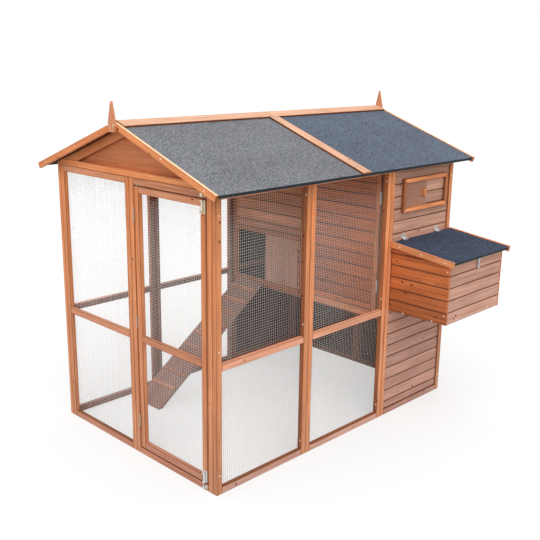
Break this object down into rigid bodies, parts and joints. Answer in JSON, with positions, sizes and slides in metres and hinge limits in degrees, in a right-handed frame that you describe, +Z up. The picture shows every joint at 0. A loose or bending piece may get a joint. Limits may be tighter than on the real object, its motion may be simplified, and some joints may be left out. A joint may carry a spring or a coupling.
{
  "type": "chicken_coop_with_run",
  "caption": "Walk-in timber chicken coop with a mesh run, gabled felt roof, raised hen house, hinged nest box, ramp, sliding pop door and vent window.",
  "frame": {"origin": "on the ground, at the middle of the whole outline seen from above", "axes": "+X to the nest box side, +Y from the run door at the front to the rear wall, +Z up"},
  "size_m": [1.6726, 1.967, 1.7224],
  "materials": {
    "stained_timber": "planed softwood, reddish stain",
    "cladding_board": "planed boards, reddish stain",
    "plywood": "sanded plywood, reddish stain",
    "galvanised_wire": "galvanised",
    "zinc_hardware": "zinc plated",
    "roofing_felt": "mineral grit, matt"
  },
  "bodies": {
    "coop": {"front_panel_frame": "stained_timber", "door_surround": "stained_timber", "right_front_run_panel": "stained_timber", "right_rear_run_panel": "stained_timber", "left_front_run_panel": "stained_timber", "left_rear_run_panel": "stained_timber", "coop_right_frame": "stained_timber", "coop_left_frame": "stained_timber", "rear_wall_frames": "stained_timber", "partition_frame": "stained_timber", "front_gable_frame": "stained_timber", "rear_gable_frame": "stained_timber", "floor_bearers": "stained_timber", "perch": "stained_timber", "ridge_boards": "stained_timber", "roof_joint_battens": "stained_timber", "barge_boards": "stained_timber", "finials": "stained_timber", "window_frame": "stained_timber", "pop_door_tracks": "stained_timber", "coop_right_boards": "cladding_board", "coop_left_boards": "cladding_board", "rear_wall_boards": "cladding_board", "partition_boards": "cladding_board", "nest_box_boards": "cladding_board", "nest_divider": "cladding_board", "front_gable_panel": "plywood", "rear_gable_panel": "plywood", "partition_gable_panel": "plywood", "coop_floor": "plywood", "nest_box_floor": "plywood", "roof_decks": "plywood", "front_panel_mesh": "galvanised_wire", "right_run_mesh": "galvanised_wire", "left_run_mesh": "galvanised_wire", "hinge_fixed_leaves": "zinc_hardware", "hinge_pins": "zinc_hardware", "bolt_keeps": "zinc_hardware", "hasp_staple": "zinc_hardware", "roof_felt": "roofing_felt"},
    "run_door": {"run_door_frame": "stained_timber", "run_door_mesh": "galvanised_wire", "run_door_leaves": "zinc_hardware", "bolt_plates": "zinc_hardware"},
    "upper_bolt": {"upper_bolt": "zinc_hardware"},
    "lower_bolt": {"lower_bolt": "zinc_hardware"},
    "coop_door": {"coop_door_frame": "stained_timber", "coop_door_boards": "cladding_board", "coop_door_leaves": "zinc_hardware"},
    "pop_door": {"pop_door": "plywood"},
    "ramp": {"ramp_board": "plywood", "ramp_cleats": "stained_timber", "ramp_leaves": "zinc_hardware"},
    "nest_lid": {"nest_lid": "plywood", "nest_lid_felt": "roofing_felt", "lid_leaves": "zinc_hardware", "hasp_leaf": "zinc_hardware"},
    "hasp": {"hasp_strap": "zinc_hardware"},
    "window_shutter": {"window_shutter": "plywood"}
  },
  "joints": [
    {"name": "run_door_hinge", "type": "hinge", "parent": "coop", "child": "run_door", "pos_m": [-0.10914, -0.9045, 0.69], "axis": [0, 0, -1], "range_deg": [0, 120]},
    {"name": "upper_bolt_slide", "type": "slide", "parent": "run_door", "child": "upper_bolt", "axis": [0, 0, 1], "range_m": [0, 0.024]},
    {"name": "lower_bolt_slide", "type": "slide", "parent": "run_door", "child": "lower_bolt", "axis": [0, 0, -1], "range_m": [0, 0.024]},
    {"name": "coop_door_hinge", "type": "hinge", "parent": "coop", "child": "coop_door", "pos_m": [0.39286, 0.3015, 0.97], "axis": [0, 0, 1], "range_deg": [0, 90]},
    {"name": "pop_door_slide", "type": "slide", "parent": "coop", "child": "pop_door", "axis": [-1, 0, 0], "range_m": [0, 0.259]},
    {"name": "ramp_hinge", "type": "hinge", "parent": "coop", "child": "ramp", "pos_m": [-0.55264, 0.2865, 0.596], "axis": [-1, 0, 0], "range_deg": [0, 40]},
    {"name": "nest_lid_hinge", "type": "hinge", "parent": "coop", "child": "nest_lid", "pos_m": [0.44986, 0.5985, 0.99], "axis": [0, -1, 0], "range_deg": [0, 70]},
    {"name": "hasp_hinge", "type": "hinge", "parent": "nest_lid", "child": "hasp", "pos_m": [0.81555, 0.5985, 0.92696], "axis": [0, -1, 0], "range_deg": [-8, 80]},
    {"name": "window_shutter_slide", "type": "slide", "parent": "coop", "child": "window_shutter", "axis": [0, 1, 0], "range_m": [0, 0.178]}
  ]
}
